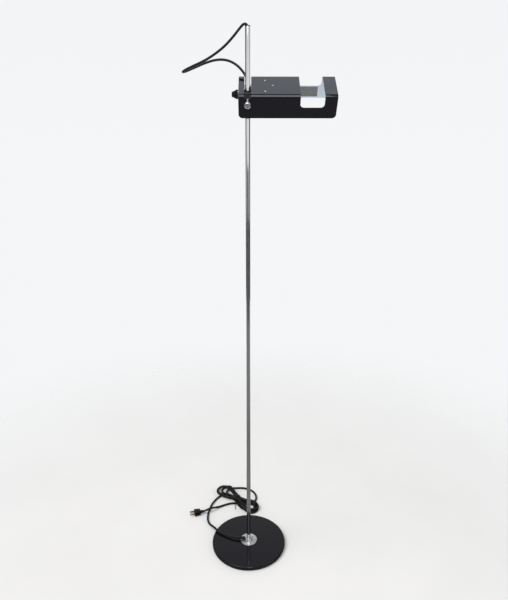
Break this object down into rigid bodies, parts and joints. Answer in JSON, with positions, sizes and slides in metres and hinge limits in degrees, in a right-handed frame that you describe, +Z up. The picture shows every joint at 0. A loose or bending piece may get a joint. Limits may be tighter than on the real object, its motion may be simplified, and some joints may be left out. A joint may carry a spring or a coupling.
{
  "type": "adjustable reading floor lamp",
  "caption": "Reading floor lamp: a folded sheet-metal head with a window slides, turns and tilts on a slim chromed stem over a heavy disc base, with its cords.",
  "frame": {"origin": "centre of the base's underside, on the stem's axis", "axes": "+Z up along the stem, +X along the head's long direction, -Y the side that the front clamp knob faces"},
  "size_m": [0.4173, 0.4005, 1.4845],
  "materials": {
    "black_lacquer": "gloss lacquer",
    "chrome": "polished chrome plate",
    "cast_iron": "as cast, sealed",
    "zinc_steel": "zinc plated",
    "brass": "plain",
    "felt": "pressed felt",
    "black_plastic": "moulded thermoset",
    "cord_black": "matt flexible sheath",
    "white_ceramic": "glazed insulator",
    "opal_glass": "opal",
    "grey_plate": "satin, blank",
    "nylon": "natural"
  },
  "bodies": {
    "stand": {"base_cover": "black_lacquer", "base_weight": "cast_iron", "weight_screws": "zinc_steel", "base_felt": "felt", "hub_flange": "chrome", "hub_boss": "chrome", "boss_grub_screw": "zinc_steel", "stem_washer": "zinc_steel", "stem_nut": "zinc_steel", "cord_grommet": "cord_black", "stem_tube": "chrome", "stem_lead": "cord_black", "mains_cord": "cord_black", "cord_hank": "cord_black", "wire_tie": "cord_black", "plug_cord": "cord_black", "plug_boot": "cord_black", "plug_body": "black_plastic", "plug_blades": "brass"},
    "cord_turner": {"stem_top_bush": "black_plastic", "head_cord": "cord_black"},
    "carriage": {"joint_core": "black_plastic", "core_rings": "chrome", "core_circlip": "zinc_steel", "core_stud": "zinc_steel", "core_gland": "black_plastic"},
    "head": {"head_shell": "black_lacquer", "joint_cradle": "black_plastic", "clamp_nut": "brass", "pressure_yoke": "nylon", "clamp_washer": "black_plastic", "end_washer": "chrome", "lampholder_bracket": "zinc_steel", "bracket_screws": "zinc_steel", "holder_nipple": "zinc_steel", "holder_locknut": "zinc_steel", "lampholder_body": "black_plastic", "holder_insert": "white_ceramic", "screw_shell": "brass", "centre_contact": "brass", "holder_lead": "cord_black", "blank_plate": "grey_plate"},
    "bulb": {"bulb_cap": "brass", "bulb_glass": "opal_glass"},
    "front_clamp": {"clamp_knob": "chrome", "clamp_screw": "zinc_steel"},
    "end_clamp": {"end_knob": "black_plastic"}
  },
  "joints": [
    {"name": "head_swivel", "type": "hinge", "parent": "stand", "child": "cord_turner", "pos_m": [0, 0, 1.4762], "axis": [0, 0, 1], "range_deg": [-170, 170]},
    {"name": "head_height", "type": "slide", "parent": "cord_turner", "child": "carriage", "axis": [0, 0, 1], "range_m": [-0.2, 0.1], "deforming": ["head_cord"]},
    {"name": "head_tilt", "type": "hinge", "parent": "carriage", "child": "head", "pos_m": [0, 0, 1.3274], "axis": [1, 0, 0], "range_deg": [-69, 2]},
    {"name": "bulb_unscrew", "type": "hinge", "parent": "head", "child": "bulb", "pos_m": [0.06, 0.0157, 1.32111], "axis": [1, 0, 0], "range_deg": [-360, 0]},
    {"name": "clamp_knob_turn", "type": "hinge", "parent": "head", "child": "front_clamp", "pos_m": [0, -0.0363, 1.31148], "axis": [0, -0.829, -0.5592], "range_deg": [-540, 90]},
    {"name": "end_knob_turn", "type": "hinge", "parent": "carriage", "child": "end_clamp", "pos_m": [-0.0395, 0, 1.3274], "axis": [-1, 0, 0], "range_deg": [-540, 90]}
  ]
}
